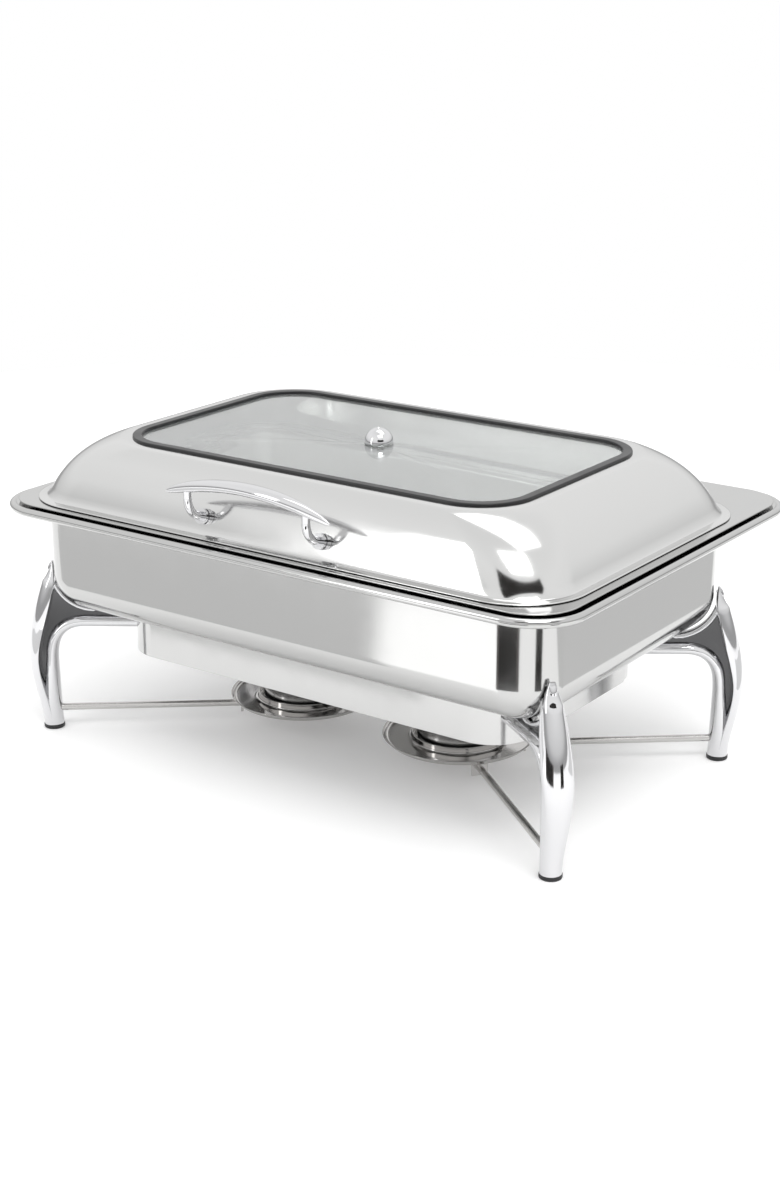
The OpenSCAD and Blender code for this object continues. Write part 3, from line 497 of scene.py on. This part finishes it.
# Fuel trays: two spun steel saucers with a turned-up rim and a raised collar that holds the
# fuel cup. The cups are drawn steel, and a round cover swings across each on a rivet.
tray_steel = textured("tray_steel", (0.48, 0.47, 0.46), 1, 0.06, 0.07, 0.00008, 0.000002, 0.001)
cup_steel = textured("cup_steel", (0.66, 0.66, 0.66), 1, 0.14, 0.08, 0.0, 0.000003, 0.001)
collar_r = 0.0415
for side, name in ((-1, "left"), (1, "right")):
    low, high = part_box("tray_" + name)
    x = (low.x + high.x) / 2
    y = (low.y + high.y) / 2
    rim = (high.x - low.x) / 2
    lip_z = high.z - 0.0026
    collar_z = high.z - 0.0008
    cup_seat_z = high.z - 0.006
    section = [(0.0001, low.z), (0.030, low.z), (collar_r + 0.004, low.z)]
    section += arc(rim - 0.0068, low.z + 0.0048, 0.0048, -90, -15, 8)
    section += [(rim - 0.0006, lip_z - 0.0006)] + arc(rim - 0.0006, lip_z, 0.0006, 0, 180, 6)
    section += [(rim - 0.0024, lip_z - 0.0019)] + arc(rim - 0.0062, low.z + 0.0052, 0.0036, -15, -90, 6)
    section += [(collar_r + 0.006, low.z + 0.0013)]
    section += arc(collar_r + 0.0034, low.z + 0.0034, 0.0018, -90, -180, 5)
    section += [(collar_r + 0.0016, collar_z)] + arc(collar_r + 0.0008, collar_z, 0.0008, 0, 180, 6)
    section += [(collar_r, collar_z - 0.0043)] + arc(collar_r - 0.001, collar_z - 0.0042, 0.001, 0, -90, 3)
    section += [(0.030, cup_seat_z), (0.0001, cup_seat_z)]
    points, faces = skin(turned(section, x, y), False)
    piece_from("saucer_" + name, points, faces, tray_steel, "stand", ["tray_" + name])
    low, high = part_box("fuel_cup_" + name)
    r = (high.x - low.x) / 2
    wall = 0.0012
    section = [(0.0001, low.z), (r - 0.005, low.z)]
    section += arc(r - 0.005, low.z + 0.005, 0.005, -90, 0)
    section += arc(r - 0.0006, high.z - 0.0006, 0.0006, 0, 90, 4)
    section += arc(r - 0.0034, high.z - 0.0006, 0.0006, 90, 270, 5)
    section += [(r - wall - 0.0004, high.z - wall), (r - wall, high.z - wall - 0.0006)]
    section += arc(r - 0.005, low.z + 0.005, 0.005 - wall, 0, -90)
    section += [(0.0001, low.z + wall)]
    points, faces = skin(turned(section, x, y), False)
    piece_from("cup_" + name, points, faces, cup_steel, "cup_" + name, ["fuel_cup_" + name])
dress(cup_steel, "flame_cover_left", "flame_cover_right")

# Water pan: one deep-drawn tub of polished steel. Its wall flares at the mouth, and its wide
# shelf ends in a rolled bead. It stands on the apron and carries the cover frame.
pan_steel = textured("pan_steel", (0.52, 0.52, 0.515), 1, 0.09, 0.05, 0.00016, 0.000002, 0.0012)
pan_low, pan_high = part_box("water_pan")


def round_ring(half_x, half_y, radius, z, mid_y=dish_y, steps=14):
    """Points round a rectangle with round corners."""
    ring = []
    for corner in range(4):
        centre_x = (half_x - radius) * (1, -1, -1, 1)[corner]
        centre_y = (half_y - radius) * (1, 1, -1, -1)[corner]
        for i in range(steps + 1):
            a = pi / 2 * (corner + i / steps)
            ring.append((centre_x + radius * cos(a), mid_y + centre_y + radius * sin(a), z))
    return ring


def carried(section, centre_x, centre_y, mid_y=dish_y):
    """Rings for a section of (distance out from the corners' centres, height) points."""
    return [round_ring(centre_x + r, centre_y + r, r, z, mid_y) for r, z in section]


food_low, food_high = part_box("food_pan")
food_hx = (food_high.x - food_low.x) / 2
food_hy = (food_high.y - food_low.y) / 2
mouth_hx = food_hx + 0.0062
mouth_hy = food_hy + 0.0062
wall_r = 0.040
mouth_step = 0.0035
fillet = 0.033
sheet = 0.0012
bead_r = 0.0038
shelf_r = 0.050
shelf_z = pan_high.z - 0.0016 - sheet
centre_x = mouth_hx - mouth_step - wall_r
centre_y = mouth_hy - mouth_step - wall_r
shelf_hx = (pan_high.x - pan_low.x) / 2
shelf_hy = (pan_high.y - pan_low.y) / 2
shelf_mid = (pan_high.y + pan_low.y) / 2
flare = shelf_z - 0.012
out_r = wall_r + mouth_step
section = [(wall_r - fillet - 0.002, pan_low.z)]
section += arc(wall_r - fillet, pan_low.z + fillet, fillet, -90, 0, 14)
section += [(wall_r, flare - 0.001), (wall_r + 0.0003, flare + 0.0008), (out_r - 0.0003, flare + 0.0062),
            (out_r, flare + 0.008), (out_r, shelf_z - 0.0012)]
section += arc(out_r + 0.0012, shelf_z - 0.0012, 0.0012, 180, 90, 4)
rings = carried(section, centre_x, centre_y)
bead_x = shelf_hx - shelf_r
bead_y = shelf_hy - shelf_r
bead_z = pan_high.z - bead_r
lower_start = 180 - degrees(asin((shelf_z - bead_z) / bead_r))
upper_end = 540 - degrees(asin((shelf_z + sheet - bead_z) / bead_r))
bead = arc(shelf_r - bead_r, bead_z, bead_r, lower_start, upper_end, 22)
rings += carried(bead, bead_x, bead_y, shelf_mid)
section = arc(out_r + 0.0012, shelf_z - 0.0012, 0.0012 + sheet, 90, 180, 5)
section += [(out_r - sheet, flare + 0.008), (out_r - sheet - 0.0003, flare + 0.0062),
            (wall_r - sheet + 0.0003, flare + 0.0008), (wall_r - sheet, flare - 0.001)]
section += arc(wall_r - fillet, pan_low.z + fillet, fillet - sheet, 0, -90, 14)
section += [(wall_r - fillet - 0.002, pan_low.z + sheet)]
rings += carried(section, centre_x, centre_y)
points, faces = skin(rings, False)
piece_from("water_tub", points, faces, pan_steel, "water_pan_body", ["water_pan"])

# Cover frame: a flat polished plate that rests on the shelf over a thin shadow gap. Its
# opening steps down to a narrow seat where the food pan hangs.
frame_low, frame_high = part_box("cover_frame")
plate_t = 0.0014
plate_r = shelf_r - 0.0086
plate_x = frame_high.x - plate_r
plate_y = (frame_high.y - frame_low.y) / 2 - plate_r
plate_mid = (frame_high.y + frame_low.y) / 2
seat_r = 0.037
seat_x = food_hx + 0.001 - seat_r
seat_y = food_hy + 0.001 - seat_r
plate_top = frame_high.z
plate_z = plate_top - plate_t
seat_z = plate_top - 0.005
rings = carried(arc(plate_r - 0.0005, plate_top - 0.0005, 0.0005, 0, 90, 4), plate_x, plate_y, plate_mid)
section = arc(seat_r + 0.0006, plate_top - 0.0006, 0.0006, 90, 180, 4)
section += [(seat_r, seat_z + 0.0006)] + arc(seat_r - 0.0006, seat_z + 0.0006, 0.0006, 0, -90, 3)
section += arc(seat_r - 0.0095, seat_z - 0.0005, 0.0005, 90, 270, 5)
section += [(seat_r + 0.001, seat_z - 0.001), (seat_r + 0.001, plate_z)]
rings += carried(section, seat_x, seat_y)
rib = 0.047
rib_x = mouth_hx + 0.003 - rib
rib_y = mouth_hy + 0.003 - rib
rib_z = shelf_z + sheet
rings += carried([(rib, plate_z), (rib, rib_z), (rib + 0.003, rib_z), (rib + 0.003, plate_z)], rib_x, rib_y)
section = [(plate_r - 0.0008, plate_z), (plate_r - 0.0002, plate_z + 0.0002), (plate_r, plate_z + 0.0005)]
rings += carried(section, plate_x, plate_y, plate_mid)
points, faces = skin(rings, True)
piece_from("cover_plate", points, faces, pan_steel, "frame", ["cover_frame"])

# Food pan: a full-size catering pan pressed from thin satin steel. Its flat rim hangs on the
# cover frame's seat, and it lifts out once the lid is open.
food_steel = textured("food_steel", (0.80, 0.80, 0.78), 1, 0.3, 0.1, 0.0001, 0.000003, 0.0009)
rim_r = 0.036
food_t = 0.0009
food_wall = rim_r - 0.013
food_fillet = 0.014
food_x = food_hx - rim_r
food_y = food_hy - rim_r
food_top = food_high.z
section = [(food_wall - food_fillet - 0.002, food_low.z)]
section += arc(food_wall - food_fillet, food_low.z + food_fillet, food_fillet, -90, 0, 10)
section += [(food_wall, food_top - food_t - 0.001)]
section += arc(food_wall + 0.001, food_top - food_t - 0.001, 0.001, 180, 90, 3)
section += [(rim_r - 0.0004, food_top - food_t)]
section += arc(rim_r - 0.00045, food_top - 0.00045, 0.00045, -90, 90, 5)
section += arc(food_wall + 0.001, food_top - 0.0019, 0.0019, 90, 180, 4)
section += arc(food_wall - food_fillet, food_low.z + food_fillet, food_fillet - food_t, 0, -90, 10)
section += [(food_wall - food_fillet - 0.002, food_low.z + food_t)]
points, faces = skin(carried(section, food_x, food_y), False)
piece_from("food_tray", points, faces, food_steel, "frame", ["food_pan"])

# Hinge: a bent steel cover over two brackets, an oil damper on the pin, and two arms that
# are riveted to the lid's rear flange.
damper_black = textured("damper_black", (0.02, 0.02, 0.022), 0, 0.4, 0.15, 0.0, 0.000008, 0.0008)
dress(pan_steel, "hinge_housing")
dress(rod_steel, "hinge_brackets", "bracket_screws", "hinge_pin")
dress(rod_steel, "lid_arm_left", "lid_arm_right", "arm_rivets")
dress(chrome, "housing_screws")
dress(damper_black, "hinge_damper")

# Lid: one pressed shell of bright steel. A narrow flange runs round it, its side curves up
# to a flat crown, and the crown is cut out for the window.
lid_steel = textured("lid_steel", (0.64, 0.64, 0.635), 1, 0.09, 0.06, 0.00018, 0.000002, 0.0012)
flange_w = 0.009
flange_r = 0.060
lid_t = 0.0012
dome_h = 0.054
run_x = 0.054
run_y = 0.031
crown_margin = 0.012
seal_r = 0.050
side_run = 0.3
side_rise = 0.77
flange_hx = (lid_high.x - lid_low.x) / 2
flange_hy = (lid_high.y - lid_low.y) / 2
lid_z = lid_low.z
dome_z = lid_z + lid_t
crown_z = dome_z + dome_h
dome_hx = flange_hx - flange_w
dome_hy = flange_hy - flange_w
dome_r = flange_r - flange_w
seal_hx = dome_hx - run_x - crown_margin
seal_hy = dome_hy - run_y - crown_margin
crown_r = seal_r + crown_margin


def side_at(t, grow, drop):
    """One ring of the lid's side, from 0 at the flange to 1 at the crown."""
    run = 2 * t * (1 - t) * side_run + t * t
    rise = 2 * t * (1 - t) * side_rise + t * t
    return round_ring(dome_hx - run_x * run + grow, dome_hy - run_y * run + grow,
                      dome_r + (crown_r - dome_r) * run + grow, dome_z + dome_h * rise - drop, steps=18)


def lid_ring(grow, z):
    return round_ring(flange_hx + grow, flange_hy + grow, flange_r + grow, z, steps=18)


def window_ring(grow, z):
    return round_ring(seal_hx + grow, seal_hy + grow, seal_r + grow, z, steps=18)


side_steps = 20
cutout_grow = -0.004
rings = [window_ring(cutout_grow, crown_z), window_ring(crown_margin * 0.5, crown_z)]
rings += [window_ring(crown_margin - 0.0012, crown_z - 0.00012)]
rings += [side_at(1 - i / side_steps, 0, 0.0003 if i == 0 else 0) for i in range(side_steps)]
rings += [lid_ring(-flange_w + 0.0001, dome_z + 0.002), lid_ring(-flange_w + 0.0006, dome_z + 0.0007)]
rings += [lid_ring(-flange_w + 0.002, dome_z), lid_ring(-0.0012, dome_z), lid_ring(-0.0003, dome_z - 0.0002)]
rings += [lid_ring(0, dome_z - 0.0006), lid_ring(-0.0003, lid_z + 0.0001), lid_ring(-0.001, lid_z)]
rings += [lid_ring(-flange_w, lid_z)]
rings += [side_at(i / side_steps, -lid_t, lid_t) for i in range(side_steps + 1)]
rings += [window_ring(cutout_grow, crown_z - lid_t)]
points, faces = skin(rings, True)
piece_from("lid_cover", points, faces, lid_steel, "lid", ["lid_shell"])

# Window seal: a moulded black silicone ring that hooks over the edge of the cut-out and
# grips the glass in its groove.
silicone = textured("black_silicone", (0.010, 0.010, 0.011), 0, 0.28, 0.12, 0.0, 0.00001, 0.0009)
seal_w = 0.0085
seal_top = 0.002
seal_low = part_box("window_seal")[0].z
glass_low, glass_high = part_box("window_glass")
groove = 0.0035
section = arc(seal_r - 0.0012, crown_z + seal_top - 0.0012, 0.0012, 0, 90, 5)
section += [(seal_r - seal_w * 0.5, crown_z + seal_top)]
section += arc(seal_r - seal_w + 0.001, crown_z + seal_top - 0.001, 0.001, 90, 180, 5)
section += [(seal_r - seal_w, glass_high.z), (seal_r - seal_w + groove, glass_high.z),
            (seal_r - seal_w + groove, glass_low.z), (seal_r - seal_w, glass_low.z),
            (seal_r - seal_w, seal_low + 0.0004), (seal_r - seal_w + 0.0004, seal_low),
            (seal_r - 0.0045, seal_low), (seal_r - 0.0041, crown_z - lid_t - 0.0022),
            (seal_r - 0.0005, crown_z - lid_t - 0.0022), (seal_r, crown_z - lid_t - 0.0017),
            (seal_r, crown_z - lid_t - 0.0001), (seal_r - 0.0041, crown_z - lid_t - 0.0001),
            (seal_r - 0.0041, crown_z), (seal_r, crown_z)]
rings = [window_ring(r - seal_r, z) for r, z in section]
points, faces = skin(rings, True)
piece_from("seal_ring", points, faces, silicone, "lid", ["window_seal"], 0.0001)

# Window: one flat pane of clear toughened glass, gripped all round by the seal. Its edges are
# ground, and it has a hole in its middle for the vent.
glass = textured("clear_glass", (0.96, 0.985, 0.98), 0, 0.0, 0.02, 0.00003, 0.0000004, 0.002)
glass_shader = glass.node_tree.nodes["Principled BSDF"]
glass_shader.inputs["Transmission Weight"].default_value = 0.9
glass_shader.inputs["IOR"].default_value = 1.5
pane_grow = (glass_high.x - glass_low.x) / 2 - seal_hx
ease = 0.0004
hole_r = 0.0032


def hole_ring(z):
    """The vent's hole, with its points in the directions of the pane's outline."""
    ring = []
    for x, y, _ in window_ring(0, z):
        reach = hypot(x, y - dish_y)
        ring.append((hole_r * x / reach, dish_y + hole_r * (y - dish_y) / reach, z))
    return ring


rings = [hole_ring(glass_high.z), window_ring(pane_grow - ease, glass_high.z)]
rings += [window_ring(pane_grow, glass_high.z - ease), window_ring(pane_grow, glass_low.z + ease)]
rings += [window_ring(pane_grow - ease, glass_low.z), hole_ring(glass_low.z)]
points, faces = skin(rings, True)
piece_from("window_pane", points, faces, glass, "lid", ["window_glass"])

# Vent: a chromed half ball with a steam hole in its top. Its lower end goes through the hole
# in the glass, and a nut under the glass holds it.
vent_r = 0.013
vent_mouth = 0.0026
vent_hole = 0.0012
glass_top = glass_high.z
ball_z = glass_top + 0.0014
ball_top = ball_z + vent_r
section = [(vent_hole, glass_top), (vent_r - 0.0010, glass_top), (vent_r - 0.0002, glass_top + 0.0004)]
mouth_angle = degrees(asin(vent_mouth / vent_r))
section += arc(0, ball_z, vent_r, 2, 90 - mouth_angle, 22)
section += [(0.0021, ball_top - 0.0006), (0.0018, ball_top - 0.0016), (0.0014, ball_top - 0.003)]
section += [(vent_hole, glass_top + 0.002)]
points, faces = skin(turned(section, 0, dish_y, 72), True)
piece_from("vent_dome", points, faces, chrome, "lid", ["vent_knob"])
dress(rod_steel, "vent_nut")

# Handle: a solid chromed bar, an arch from the front and a pointed leaf from above, on two
# bent posts. A double ring collar seats each post on the lid.
bar_low, bar_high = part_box("handle_bar")
bar_half = (bar_high.x - bar_low.x) / 2
bar_y = (bar_low.y + bar_high.y) / 2
bar_w = bar_high.y - bar_low.y
bar_t = 0.0102
bar_droop = 0.015
arch_r = (bar_half ** 2 + bar_droop ** 2) / (2 * bar_droop)
bar_mid_z = bar_high.z - bar_t / 2
bar_steps = 56
bar_sides = 32
bar_reach = 0.997
bar_square = 0.85
rings = []
for i in range(bar_steps + 1):
    x = -bar_half * cos(pi * i / bar_steps) * bar_reach
    turn = asin(x / arch_r)
    reach = abs(x / bar_half)
    half_w = bar_w / 2 * (1 - reach ** 2.4) ** 0.8
    half_t = bar_t / 2 * (1 - reach ** 5) ** 0.6
    ring = []
    for k in range(bar_sides):
        a = 2 * pi * k / bar_sides
        across = abs(cos(a)) ** bar_square * (1 if cos(a) > 0 else -1) * half_w
        up = abs(sin(a)) ** bar_square * (1 if sin(a) > 0 else -1) * half_t
        level = bar_mid_z - arch_r + (arch_r + up) * cos(turn)
        ring.append(((arch_r + up) * sin(turn), bar_y + across, level))
    rings.append(ring)
points, faces = skin(rings, False)
piece_from("grip_bar", points, faces, chrome, "lid", ["handle_bar"])
dress(chrome, "handle_post_left", "handle_post_right", "handle_collars")
dress(rod_steel, "handle_screws")
